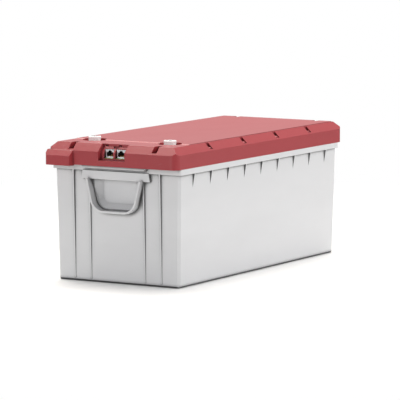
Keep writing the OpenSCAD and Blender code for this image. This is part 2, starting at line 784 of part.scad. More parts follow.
// Nuts on studs, one for each cell post
module busbar_nuts() {
    color("#b4b8bd") for (n = [0:group_count * cells_per_group - 1], side = [-1, 1])
        translate([side * post_x, cell_y(n), 0]) {
            translate([0, 0, bar_z - 2]) cylinder(d = stud_d, h = bar_t + 8);
            translate([0, 0, bar_z + bar_t]) cylinder(d = 11.5, h = 4.6, $fn = 6);
        }
}

// Insulating strip under the busbars of one side
module insulator(side) {
    color("#7c3b2c") difference() {
        translate([side * post_x, 0, cell_top]) linear_extrude(post_h - 0.6)
            square([bar_w + 6, cells_l - 2 * sheet_t - 1], center = true);
        for (n = [0:group_count * cells_per_group - 1]) translate([side * post_x, cell_y(n), cell_top - 1])
            cylinder(d = post_d + 1, h = post_h + 2);
    }
}

// Copper riser that ends on a terminal's stem
module stem_plate(side) {
    difference() {
        translate([side * (term_x - 2), term_y + 8, stem_low + riser_t / 2]) cube([24, 34, riser_t], center = true);
        translate([side * term_x, term_y, stem_low - 1]) cylinder(d = stem_d + 0.4, h = riser_t + 2);
    }
}

// From the busbar of the first group up to the positive terminal
module riser_positive() {
    y0 = (cell_y(0) + cell_y(1)) / 2;
    color("#c58a5a") {
        translate([0, y0, 0]) along_y(riser_w) polygon([[post_x - 8, bar_z + bar_t], [riser_x, bar_z + bar_t],
            [riser_x, stem_low + riser_t], [riser_x - riser_t, stem_low + riser_t],
            [riser_x - riser_t, bar_z + bar_t + riser_t], [post_x - 8, bar_z + bar_t + riser_t]]);
        stem_plate(1);
    }
}

// From the busbar of the last group to the management unit
module riser_minus() {
    last = group_count * cells_per_group - 1;
    y1 = (cell_y(last) + cell_y(last - 1)) / 2;
    color("#c58a5a") {
        translate([0, y1, 0]) along_y(riser_w) polygon([[post_x - 8, bar_z + bar_t], [riser_x, bar_z + bar_t],
            [riser_x, lug_z + riser_t], [lug_x + riser_w / 2, lug_z + riser_t], [lug_x + riser_w / 2, lug_z],
            [riser_x - riser_t, lug_z], [riser_x - riser_t, bar_z + bar_t + riser_t],
            [post_x - 8, bar_z + bar_t + riser_t]]);
        span([lug_x - riser_w / 2, bms_y + bms_l / 2 - lug_in, lug_z],
            [lug_x + riser_w / 2, y1 + riser_w / 2, lug_z + riser_t]);
    }
}

// From the management unit to the negative terminal
module riser_negative() {
    y0 = (cell_y(0) + cell_y(1)) / 2;
    color("#c58a5a") {
        translate([0, y0, 0]) along_y(riser_w) {
            translate([-riser_x, min(lug_z, stem_low)]) square([riser_t, abs(stem_low - lug_z) + riser_t]);
            translate([-riser_x, lug_z]) square([riser_x - lug_x - riser_w / 2, riser_t]);
        }
        span([-lug_x - riser_w / 2, y0 - riser_w / 2, lug_z],
            [-lug_x + riser_w / 2, bms_y - bms_l / 2 + lug_in, lug_z + riser_t]);
        stem_plate(-1);
    }
}

// Folded bridge bracket: flat top, two side walls that end short of it
module bms_bracket() {
    hw = bracket_w / 2;
    wall_l = bracket_l - 54;
    color("#2a2a2c") difference() {
        union() {
            translate([0, 0, bracket_top - sheet_metal]) linear_extrude(sheet_metal)
                rounded(bracket_w, bracket_l, 4);
            both_x() span([hw - sheet_metal, -wall_l / 2, cell_top + pad_t], [hw, wall_l / 2, bracket_top]);
        }
        at_bracket_posts() translate([0, 0, bracket_top - 5]) cylinder(d = 4.4, h = 10);
        for (y = [-150, 150]) translate([0, y, bracket_top - 5]) linear_extrude(10) rounded(30, 50, 6);
    }
}

// Where the bracket stands on posts
module at_bracket_posts() {
    for (x = [-bracket_w / 2 + 9, bracket_w / 2 - 9], y = [-bracket_l / 2 + 10, bracket_l / 2 - 10])
        translate([x, y, 0]) children();
}

// Yellow strips that the bracket's walls stand on
module bracket_pads() {
    color("#d9b93b") both_x() span([bracket_w / 2 - 6, -bracket_l / 2 + 24, cell_top],
        [bracket_w / 2 + 0.5, bracket_l / 2 - 24, cell_top + pad_t]);
}

// Posts that carry the ends of the bracket
module bracket_posts() {
    color("#e8e8e4") at_bracket_posts() translate([0, 0, cell_top]) difference() {
        cylinder(d = 9, h = bracket_h - sheet_metal);
        translate([0, 0, 4]) cylinder(d = 4.2, h = bracket_h);
    }
}

// Pan head screws into those posts
module bracket_screws() {
    color("#cfdbe6") at_bracket_posts() {
        translate([0, 0, bracket_top - 12]) cylinder(d = 4, h = 12.5);
        translate([0, 0, bracket_top]) cylinder(d = 8, h = 3);
    }
}

// Aluminium tray of the management unit
module bms_tray() {
    color("#c6c9cc") difference() {
        translate([0, bms_y, 0]) union() {
            translate([0, 0, tray_z]) linear_extrude(2) square([bms_w, bms_l], center = true);
            both_x() span([bms_w / 2 - 2, -bms_l / 2, tray_z], [bms_w / 2, bms_l / 2, tray_z + 7]);
        }
        for (y = [-30, 30]) translate([0, bms_y + y, tray_z - 1]) linear_extrude(6) rounded(36, 30, 5);
    }
}

// Where the board of the management unit is held
module at_spacers() {
    for (x = [-bms_w / 2 + 8, bms_w / 2 - 8], s = [-1, 0, 1]) translate([x, bms_y + s * (bms_l / 2 - 22), 0])
        children();
}

// Hexagon spacers under that board, each with its screw
module bms_spacers() {
    color("#d8b45c") at_spacers() {
        translate([0, 0, tray_z + 2]) cylinder(d = 6.4, h = bms_board_z - tray_z - 2, $fn = 6);
        translate([0, 0, bms_board_z - 1]) cylinder(d = 3, h = board_t + 1);
        translate([0, 0, bms_board_z + board_t]) cylinder(d = 5.5, h = 2);
    }
}

// Board of the management unit with its switching chips, shunts and capacitors
module bms_board() {
    top = bms_board_z + board_t;
    color("#2f7d3c") difference() {
        translate([0, bms_y, bms_board_z]) linear_extrude(board_t) rounded(bms_w - 6, bms_l - 6, 2);
        at_spacers() translate([0, 0, bms_board_z - 1]) cylinder(d = 3.2, h = 4);
    }
    color("#27272a") for (i = [-5:5], x = [-12, 12]) translate([x - 5, bms_y + i * 11 - 4, top])
        cube([10, 8, heat_z - top]);
    color("#b9bdc2") for (s = [-1, 1], x = [8, 18]) translate([-s * x, bms_y + s * (bms_l / 2 - 18), top])
        cylinder(d = 6, h = 7);
    color("#c5a15a") for (s = [-1, 1]) translate([s * lug_x - lug_w / 2,
        bms_y + s * (bms_l / 2 - lug_in + lug_l / 2) - lug_l / 2, top]) cube([lug_w, lug_l, lug_z - top]);
}

// One open plug housing, from its lowest corner
module plug_housing(x, y, z, w, l) {
    difference() {
        span([x, y, z], [x + w, y + l, z + 7]);
        span([x + 1.2, y + 1, z + 2], [x + w - 1.2, y + l - 1, z + 8]);
    }
}

// White plug housings on the ends of the board
module bms_connectors() {
    top = bms_board_z + board_t;
    color("#efeee9") {
        for (x = [2, 18]) plug_housing(x, bms_y - bms_l / 2 + 5, top, 12, 7);
        plug_housing(-24, bms_y + bms_l / 2 - 13, top, 22, 8);
    }
}

// Heat plate on the switching chips
module bms_heat_plate() {
    l = bms_l - 46;
    color("#bfc3c7") difference() {
        translate([0, bms_y, heat_z]) linear_extrude(5) rounded(bms_w - 14, l, 2);
        for (x = [-3:3]) translate([x * 7 - 1, bms_y - l / 2 + 8, heat_z + 3]) cube([2, l - 16, 4]);
    }
}

// Green board behind the port recess
module interface_board() {
    z0 = jack_low - board_t;
    color("#5cb531") difference() {
        span([-board_x, -port_y + lid_t + 0.5, z0], [board_x, term_y - 3, jack_low]);
        at_board_screws() translate([0, 0, z0 - 1]) cylinder(d = 3.2, h = 4);
    }
}

// Where the board behind the port recess is held
module at_board_screws() {
    for (x = [-board_screw_x, board_screw_x], y = board_screw_y) translate([x, y, 0]) children();
}

// Screws from below through that board into the lid
module board_screws() {
    z0 = jack_low - board_t;
    color("#cfd2d6") at_board_screws() {
        translate([0, 0, z0 - 1.8]) cylinder(d = 5.6, h = 1.8);
        translate([0, 0, z0 - 0.5]) cylinder(d = 3, h = 9);
    }
}

// Shielded network jack with a keyed socket and a row of contacts
module network_jack(side) {
    translate([side * jack_pitch / 2, -jack_face, jack_low]) {
        color("#a7aaad") difference() {
            span([-jack_w / 2, 0, 0], [jack_w / 2, jack_l, jack_h]);
            span([-6, -1, 2.6], [6, 14, 9.2]);
            span([-3.3, -1, 9], [3.3, 14, 10.8]);
            span([-2, -1, 10.6], [2, 14, 12]);
        }
        color("#c8a85a") for (i = [-3.5:3.5]) span([i * 1.02 - 0.22, 3, 2.5], [i * 1.02 + 0.22, 13.9, 3.3]);
    }
}

// Black plug housing under that board
module interface_header() {
    y0 = board_screw_y[0];
    z1 = jack_low - board_t;
    wall_t = 1.4;
    color("#262628") difference() {
        span([0, y0, z1 - header_h], [header_w, y0 + header_l, z1]);
        span([wall_t, y0 + wall_t, z1 - header_h - 1], [header_w - wall_t, y0 + header_l - wall_t, z1 - 2]);
    }
}

// Second board, carried by its plug behind the jacks
module radio_board() {
    z0 = jack_low + 4.4;
    color("#33622f") difference() {
        span([radio_x, radio_y, z0], [radio_x + radio_w, radio_y + radio_l, z0 + board_t]);
        at_board_screws() translate([0, 0, z0 - 1]) cylinder(d = 7, h = 4);
    }
    color("#262628") span([10, term_y - 8, jack_low], [19, term_y - 3.5, z0]);
    color("#3f7a3a") for (i = [0:3]) translate([radio_x + 8 + i * 7, radio_y + 12, z0 + board_t])
        cylinder(d = 4, h = 2.2);
}

// Small black knob on the second board
module antenna_stub() {
    z0 = jack_low + 4.4 + board_t;
    color("#262628") translate([radio_x + radio_w - 12, radio_y + 18, z0]) {
        cylinder(d = 6, h = 1.4);
        cylinder(d = 2.6, h = 6);
        translate([0, 0, 6.4]) sphere(d = 4.4);
    }
}

case();
lid();
lid_gasket();
lid_screws();
terminal(1);  // terminal_positive
terminal(-1);  // terminal_negative
bushing(1);  // bushing_positive
bushing(-1);  // bushing_negative
color("#3a383b") end_frame();  // end_frame_front
color("#3a383b") mirror([0, 1, 0]) end_frame();  // end_frame_rear
strap(strap_high_z);  // strap_upper
strap(strap_low_z);  // strap_lower
cell_separators();
cell(0);  // cell_01
cell(1);  // cell_02
cell(2);  // cell_03
cell(3);  // cell_04
cell(4);  // cell_05
cell(5);  // cell_06
cell(6);  // cell_07
cell(7);  // cell_08
cell(8);  // cell_09
cell(9);  // cell_10
cell(10);  // cell_11
cell(11);  // cell_12
cell(12);  // cell_13
cell(13);  // cell_14
cell(14);  // cell_15
cell(15);  // cell_16
busbar(-1, 0, 3);  // busbar_left_1
busbar(-1, 4, 7);  // busbar_left_2
busbar(-1, 8, 11);  // busbar_left_3
busbar(-1, 12, 15);  // busbar_left_4
busbar(1, 0, 1);  // busbar_plus
busbar(1, 2, 5);  // busbar_right_1
busbar(1, 6, 9);  // busbar_right_2
busbar(1, 10, 13);  // busbar_right_3
busbar(1, 14, 15);  // busbar_minus
busbar_nuts();
insulator(-1);  // insulator_left
insulator(1);  // insulator_right
riser_positive();
riser_minus();
riser_negative();
bms_bracket();
bracket_pads();
bracket_posts();
bracket_screws();
bms_tray();
bms_spacers();
bms_board();
bms_connectors();
bms_heat_plate();
interface_board();
network_jack(-1);  // network_jack_left
network_jack(1);  // network_jack_right
interface_header();
board_screws();
radio_board();
antenna_stub();
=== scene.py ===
import json
import math

import bmesh
import bpy
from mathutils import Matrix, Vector


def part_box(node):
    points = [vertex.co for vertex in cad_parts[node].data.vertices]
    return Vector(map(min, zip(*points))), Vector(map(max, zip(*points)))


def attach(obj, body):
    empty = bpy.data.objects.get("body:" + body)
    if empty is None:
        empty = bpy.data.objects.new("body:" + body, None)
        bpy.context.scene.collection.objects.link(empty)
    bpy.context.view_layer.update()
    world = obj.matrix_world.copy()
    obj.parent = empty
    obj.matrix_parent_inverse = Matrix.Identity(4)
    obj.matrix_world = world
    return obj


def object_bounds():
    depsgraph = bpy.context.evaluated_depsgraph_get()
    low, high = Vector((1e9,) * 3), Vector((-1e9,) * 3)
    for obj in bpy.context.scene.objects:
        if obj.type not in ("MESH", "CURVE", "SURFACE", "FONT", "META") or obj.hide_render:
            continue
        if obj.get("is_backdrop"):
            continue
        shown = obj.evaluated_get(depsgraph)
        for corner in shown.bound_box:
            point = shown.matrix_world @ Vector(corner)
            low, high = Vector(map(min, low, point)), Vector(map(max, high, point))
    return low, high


MM = 0.001

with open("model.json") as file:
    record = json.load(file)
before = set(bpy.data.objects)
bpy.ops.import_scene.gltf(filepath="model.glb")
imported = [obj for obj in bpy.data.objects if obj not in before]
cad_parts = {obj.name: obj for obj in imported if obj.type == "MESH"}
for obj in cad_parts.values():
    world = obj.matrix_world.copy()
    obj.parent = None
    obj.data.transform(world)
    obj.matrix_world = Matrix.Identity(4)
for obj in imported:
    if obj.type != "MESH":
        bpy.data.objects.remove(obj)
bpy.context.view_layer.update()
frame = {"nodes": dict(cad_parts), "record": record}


# Camera and lamps

# Where the camera stands: turned round from the front end, and looking down
CAMERA_YAW = math.radians(30.5)
CAMERA_DROP = math.radians(6.6)
CAMERA_DISTANCE = 5.25
LENS = 287.3
# The camera sees no farther than this, in metres
FARTHEST = 200
AIM = Vector((0.0, 0.0, 0.108))

# Name, place, width and height, watts and colour of each softbox
SOFTBOXES = (
    ("key", (3.4, 0.9, 2.0), (4.2, 3.4), 116, (1.0, 1.0, 1.0)),
    ("top", (-0.9, 1.1, 3.1), (3.6, 3.0), 210, (1.0, 0.96, 0.89)),
    ("front", (-0.9, -4.2, 1.1), (2.6, 2.0), 64, (1.0, 1.0, 1.0)),
)


def add_camera():
    level = math.cos(CAMERA_DROP)
    look = Vector((-math.sin(CAMERA_YAW) * level, math.cos(CAMERA_YAW) * level,
                   -math.sin(CAMERA_DROP)))
    data = bpy.data.cameras.new("camera")
    data.lens = LENS
    data.clip_end = FARTHEST
    camera = bpy.data.objects.new("camera", data)
    camera.location = AIM - look * CAMERA_DISTANCE
    camera.rotation_euler = look.to_track_quat("-Z", "Y").to_euler()
    bpy.context.scene.collection.objects.link(camera)
    bpy.context.scene.camera = camera


def add_softbox(name, place, size, watts, colour):
    data = bpy.data.lights.new(name, "AREA")
    data.shape = "RECTANGLE"
    data.size, data.size_y = size
    data.energy = watts
    data.color = colour
    lamp = bpy.data.objects.new(name, data)
    lamp.location = place
    lamp.rotation_euler = (AIM - lamp.location).to_track_quat("-Z", "Y").to_euler()
    bpy.context.scene.collection.objects.link(lamp)


# Shader values

def plug(tree, socket, value):
    """Sets a socket to a number, direction or colour, or links a value to it."""
    if isinstance(value, Value):
        tree.links.new(value.out, socket)
    elif socket.type == "RGBA":
        socket.default_value = (*value, 1.0)
    else:
        socket.default_value = value


def find(sockets, identifier):
    """Identifiers tell apart the sockets of one node that share a name."""
    return next(socket for socket in sockets if socket.identifier == identifier)


def add_node(tree, kind, output, settings=(), sockets=()):
    """Adds a node: its settings first, then what its sockets hold. Gives one of its outputs."""
    node = tree.nodes.new(kind)
    for name, value in dict(settings).items():
        setattr(node, name, value)
    for identifier, value in dict(sockets).items():
        plug(tree, find(node.inputs, identifier), value)
    return Value(tree, find(node.outputs, output))


def calculate(operation, a, b=0.0):
    """A Math node on two numbers. At least one of them is a value of a material."""
    tree = (a if isinstance(a, Value) else b).tree
    return add_node(tree, "ShaderNodeMath", "Value", {"operation": operation},
                    {"Value": a, "Value_001": b})


class Value:
    """The output of a shader node. Maths on it adds the nodes that do it."""

    def __init__(self, tree, out):
        self.tree = tree
        self.out = out

    def __add__(self, other):
        return calculate("ADD", self, other)

    def __radd__(self, other):
        return calculate("ADD", other, self)

    def __sub__(self, other):
        return calculate("SUBTRACT", self, other)

    def __rsub__(self, other):
        return calculate("SUBTRACT", other, self)

    def __mul__(self, other):
        return calculate("MULTIPLY", self, other)

    def __rmul__(self, other):
        return calculate("MULTIPLY", other, self)

    def __abs__(self):
        return calculate("ABSOLUTE", self)

    def sine(self):
        return calculate("SINE", self)

    def at_most(self, limit):
        return calculate("MINIMUM", self, limit)

    def smooth(self, low, high):
        """A soft step from 0 at low to 1 at high, where low may be the larger."""
        ends = (low, high, 0.0, 1.0) if low < high else (high, low, 1.0, 0.0)
        names = ("From Min", "From Max", "To Min", "To Max")
        return add_node(self.tree, "ShaderNodeMapRange", "Result",
                        {"interpolation_type": "SMOOTHSTEP"},
                        {"Value": self, **dict(zip(names, ends))})


def tinted(colour, times, plus=0.0):
    """A colour multiplied and lifted, no part of it over 1."""
    return [min(1.0, part * times + plus) for part in colour]


# Dot product of the rounded normal and the face's own: on a flat face, and at an edge
TURN_FLAT, TURN_EDGE = 0.999, 0.86
# Share of hidden sky at which the painted shade in corners starts, and at which it is darkest
PAINTED_SHADE_START, PAINTED_SHADE_FULL = 0.06, 0.55


class Surface:
    """A material with one Principled shader, made of procedural values."""

    def __init__(self, name):
        self.material = bpy.data.materials.new(name)
        self.material.use_nodes = True
        self.tree = self.material.node_tree
        self.shader = self.tree.nodes["Principled BSDF"]
        self.place = self.node("ShaderNodeTexCoord", "Object")
        self.x, self.y, self.z = (
            self.node("ShaderNodeSeparateXYZ", axis, {}, {"Vector": self.place}) for axis in "XYZ")

    def node(self, kind, output, settings=(), sockets=()):
        return add_node(self.tree, kind, output, settings, sockets)

    def stretched(self, sx, sy, sz):
        return self.node("ShaderNodeMapping", "Vector", {},
                         {"Vector": self.place, "Scale": (sx, sy, sz)})

    def noise(self, scale, detail, rough, where=None):
        return self.node("ShaderNodeTexNoise", "Fac", {},
                         {"Vector": where or self.place, "Scale": scale, "Detail": detail,
                          "Roughness": rough})

    def cells(self, scale, where=None):
        return self.node("ShaderNodeTexVoronoi", "Distance", {},
                         {"Vector": where or self.place, "Scale": scale})

    def mix(self, amount, a, b):
        """Colour a where the amount is 0, and b where it is 1."""
        return self.node("ShaderNodeMix", "Result_Color", {"data_type": "RGBA"},
                         {"Factor_Float": amount, "A_Color": a, "B_Color": b})

    def blend(self, amount, a, b):
        """Number a where the amount is 0, and b where it is 1."""
        return self.node("ShaderNodeMix", "Result_Float", {},
                         {"Factor_Float": amount, "A_Float": a, "B_Float": b})

    def dimmed(self, colour, by):
        return self.node("ShaderNodeVectorMath", "Vector", {"operation": "SCALE"},
                         {"Vector": colour, "Scale": by})

    def rounded(self, radius):
        """The normal, turned softly round the edges."""
        return self.node("ShaderNodeBevel", "Normal", {"samples": 6}, {"Radius": radius})

    def near_edge(self, normal):
        """1 along the edges that the rounded normal turns round, and 0 elsewhere."""
        flat = self.node("ShaderNodeNewGeometry", "Normal")
        turn = self.node("ShaderNodeVectorMath", "Value", {"operation": "DOT_PRODUCT"},
                         {"Vector": normal, "Vector_001": flat})
        return turn.smooth(TURN_FLAT, TURN_EDGE)

    def painted_crevice_shade(self, distance, depth):
        """Painted shade: 1 on open faces, down to 1 - depth in corners, slots and under ledges."""
        open_sky = self.node("ShaderNodeAmbientOcclusion", "AO", {"samples": 8},
                             {"Distance": distance})
        return 1 - (1 - open_sky).smooth(PAINTED_SHADE_START, PAINTED_SHADE_FULL) * depth

    def bump(self, height, strength, distance, normal=None):
        sockets = {"Height": height, "Strength": strength, "Distance": distance}
        if normal is not None:
            sockets["Normal"] = normal
        return self.node("ShaderNodeBump", "Normal", {}, sockets)

    def finish(self, colour, roughness, normal=None, metallic=0.0, coat=0.0, fixed=()):
        """Fills in the shader. The fixed numbers are the same all over the surface."""
        sockets = {"Base Color": colour, "Roughness": roughness, "Metallic": metallic,
                   "Coat Weight": coat, **dict(fixed)}
        if normal is not None:
            sockets["Normal"] = normal
        for name, value in sockets.items():
            plug(self.tree, self.shader.inputs[name], value)
        return self.material


# Finishes

# How much the flow of the melt shades the plastic
FLOW_SHADE = 0.06
# How deep the grain is, and how much finer its pits are than its specks
GRAIN_DEPTH, PIT_FINENESS = 0.12 * MM, 1.6
HANDLING_MARK = (0.8, 0.8, 0.8)


def moulded(name, colour, roughness, grain=0.35, grain_size=900, edge_radius=0.8 * MM, lift=1.10,
            coat=0.0, mirror=0.45, scuffs=0.0, shade=0.5, reach=7 * MM):
    """Injection moulded plastic: spark-eroded grain, faint flow shading, softer edges painted
    paler as part wear, part highlight, and painted shade in corners and slots.
    """
    s = Surface(name)
    normal = s.rounded(edge_radius)
    flow = s.noise(7, detail=4, rough=0.55, where=s.stretched(1, 0.6, 2.2))
    speck = s.noise(grain_size, detail=2, rough=0.6)
    pits = s.cells(grain_size * PIT_FINENESS)
    # Flow marks and grain specks, times the painted shade in corners and slots
    tone_and_painted_shade = (1 - FLOW_SHADE * (flow - 0.5) * 2 + (speck - 0.5) * 0.05) * s.painted_crevice_shade(reach, shade)
    # Paler edges: part rubbing wear, part painted highlight
    plastic = s.mix(s.near_edge(normal) * 0.5, colour, tinted(colour, lift, 0.015))
    plastic = s.dimmed(plastic, tone_and_painted_shade)
    rough = roughness + (flow - 0.5) * 0.10 + (speck - 0.5) * 0.08
    if scuffs:
        streak = s.noise(60, detail=6, rough=0.7, where=s.stretched(1, 7, 1.4))
        worn = streak.smooth(0.60, 0.72) * scuffs
        rough = rough + worn * 0.18
        plastic = s.mix(worn * 0.12, plastic, HANDLING_MARK)
    return s.finish(plastic, rough, s.bump(speck * 0.6 + pits * 0.4, grain, GRAIN_DEPTH, normal),
                    coat=coat, fixed={"Coat Roughness": 0.22, "Specular IOR Level": mirror})


TOOL_LINE_DEPTH = 0.06 * MM


def metal(name, colour, roughness, stretch, tarnish=0.12):
    """Worked metal with fine tool lines along one direction, faint tarnish, and edges painted
    brighter as part wear, part highlight.
    """
    s = Surface(name)
    normal = s.rounded(0.3 * MM)
    lines = s.noise(60, detail=4, rough=0.6, where=s.stretched(*stretch))
    dull = s.noise(35, detail=4, rough=0.6).smooth(0.45, 0.75) * tarnish
    base = s.mix(dull, colour, tinted(colour, 0.6))
    # Brighter edges: part worn bare metal, part painted highlight
    bright = s.mix(s.near_edge(normal) * 0.5, base, tinted(colour, 1.15))
    return s.finish(bright, roughness + (lines - 0.5) * 0.16 + dull * 0.3,
                    s.bump(lines, 0.15, TOOL_LINE_DEPTH, normal), metallic=1.0)


# Waves in the strapping, in radians a metre: its ribs, and the weave along and across it
RIB_WAVES, ALONG_WAVES, ACROSS_WAVES = 2400, 3900, 1200
STRAP_DUST = (0.45, 0.5, 0.33)


def strap_weave(name, colour):
    """Woven strapping: ribs along the length with a fine cross weave and a little dust."""
    s = Surface(name)
    rib = (s.z * RIB_WAVES).sine() * 0.5 + 0.5
    cross = ((s.x + s.y) * ALONG_WAVES).sine() * (s.z * ACROSS_WAVES).sine() * 0.5 + 0.5
    fuzz = s.noise(2600, detail=2, rough=0.7)
    height = rib * 0.6 + cross * 0.3 + fuzz * 0.1
    yarn = s.mix(height, tinted(colour, 0.84), tinted(colour, 1.08))
    dust = s.noise(45, detail=4, rough=0.6).smooth(0.5, 0.8) * 0.08
    return s.finish(s.mix(dust, yarn, STRAP_DUST), 0.62 + (1 - height) * 0.2,
                    s.bump(height, 0.45, 0.2 * MM),
                    fixed={"Sheen Weight": 0.10, "Sheen Roughness": 0.5})


# The cells' top plates, with the film just below
CELL_PLATE = 119.98 * MM
ROLLED_DARK, ROLLED_BRIGHT = (0.58, 0.59, 0.60), (0.76, 0.77, 0.78)


def cell_film(name, colour):
    """Blue shrunk film with fine wrinkles on the can, bare rolled metal on its top and posts."""
    s = Surface(name)
    plate = (s.z - CELL_PLATE).smooth(0.0, 0.05 * MM)
    wrinkle = s.noise(55, detail=5, rough=0.6, where=s.stretched(1, 1, 3.5))
    film = s.mix(wrinkle.smooth(0.35, 0.75), tinted(colour, 0.90), tinted(colour, 1.08))
    rolled = s.noise(900, detail=3, rough=0.6, where=s.stretched(0.05, 1, 1))
    bare = s.mix(rolled, ROLLED_DARK, ROLLED_BRIGHT)
    rough = s.blend(plate, 0.36 + (wrinkle - 0.5) * 0.2, 0.32 + (rolled - 0.5) * 0.2)
    height = wrinkle * 0.8 + rolled * 0.2
    return s.finish(s.mix(plate, film, bare), rough,
                    s.bump(height, 0.25, 0.2 * MM, s.rounded(0.6 * MM)), metallic=plate)


GLASS_STRAND = (0.55, 0.55, 0.32)


def pressed_sheet(name, colour):
    """Pressed fibre sheet: mottled, with glass strands showing faintly."""
    s = Surface(name)
    mottle = s.noise(160, detail=5, rough=0.7)
    strand = s.cells(500, s.stretched(1, 1, 6))
    fibre = s.mix(mottle, tinted(colour, 0.75), tinted(colour, 1.3))
    return s.finish(s.mix(strand.smooth(0.5, 0.1) * 0.25, fibre, GLASS_STRAND),
                    0.6 + (mottle - 0.5) * 0.2,
                    s.bump(mottle + strand * 0.4, 0.2, 0.1 * MM, s.rounded(0.3 * MM)))


# Printed boards: cells a metre in the patterns of tracks and of pads, and how far out from the
# middle of its cell a track runs, as a share of the cell
TRACK_CELLS, PAD_CELLS = 420, 190
TRACK_AT = 0.34
PAD_TIN = (0.62, 0.52, 0.25)


def solder_mask(name, colour, board_top, parts):
    """Printed board: glossy mask over copper tracks, tinned pads, and the parts on top of it."""
    s = Surface(name)
    flat = s.stretched(1, 1, 0.01)
    track = abs(s.cells(TRACK_CELLS, flat) - TRACK_AT).smooth(0.05, 0.02)
    pad = s.cells(PAD_CELLS, flat).smooth(0.13, 0.09)
    above = (s.z - board_top).smooth(0.02 * MM, 0.06 * MM)
    board = s.mix(track * 0.55, colour, tinted(colour, 1.5, 0.01))
    board = s.mix(above, s.mix(pad, board, PAD_TIN), parts)
    rough = s.blend(above, s.blend(pad, 0.28 + track * 0.08, 0.35), 0.42)
    height = track * 0.5 + pad * 0.5
    return s.finish(board, rough, s.bump(height, 0.25, 0.08 * MM, s.rounded(0.2 * MM)),
                    metallic=pad * (1 - above), coat=(1 - above) * 0.3)


# Network jacks: middle of each, front face and underside of the housings
JACK_X, JACK_FACE, JACK_LOW = 10.3 * MM, -261.4 * MM, 200.0 * MM
# Their sockets and contact wires, measured from there
SOCKET_DEPTH, SOCKET_HALF_WIDTH = 14.2 * MM, 6.05 * MM
SOCKET_FLOOR, SOCKET_CEILING = 2.3 * MM, 12.1 * MM
WIRE_TOP, WIRE_FRONT = 3.36 * MM, 2.9 * MM
TIN_DARK, TIN_BRIGHT = (0.42, 0.43, 0.44), (0.68, 0.69, 0.70)
SOCKET_BLACK, GILT = (0.012, 0.012, 0.013), (0.80, 0.55, 0.20)


def jack_shell(name):
    """Tinned shield outside, black housing inside the socket, gilt contact wires at its floor."""
    s = Surface(name)
    soft = 0.1 * MM
    off_centre = abs(abs(s.x) - JACK_X)
    back = s.y - JACK_FACE
    up = s.z - JACK_LOW
    deep = back.smooth(0.1 * MM, 0.3 * MM) * (back - SOCKET_DEPTH).smooth(0.2 * MM, -0.2 * MM)
    wide = ((off_centre - SOCKET_HALF_WIDTH).smooth(soft, -soft)
            * (up - SOCKET_FLOOR).smooth(-soft, soft) * (up - SOCKET_CEILING).smooth(soft, -soft))
    inside = deep * wide
    wires = ((up - WIRE_TOP).smooth(soft / 2, -soft / 2) * inside
             * (back - WIRE_FRONT).smooth(-soft, soft))
    brushed = s.noise(240, detail=4, rough=0.6, where=s.stretched(1, 0.1, 1))
    shell = s.mix(inside, s.mix(brushed, TIN_DARK, TIN_BRIGHT), SOCKET_BLACK)
    bare = (1 - inside + wires).at_most(1.0)
    return s.finish(s.mix(wires, shell, GILT), s.blend(bare, 0.5, 0.30 + (brushed - 0.5) * 0.2),
                    s.bump(brushed, 0.1, 0.05 * MM, s.rounded(0.3 * MM)), metallic=bare)


# Upper faces of the three boards
MANAGEMENT_BOARD_TOP, SMALL_BOARD_TOP, RADIO_BOARD_TOP = 151.6 * MM, 200.0 * MM, 206.0 * MM
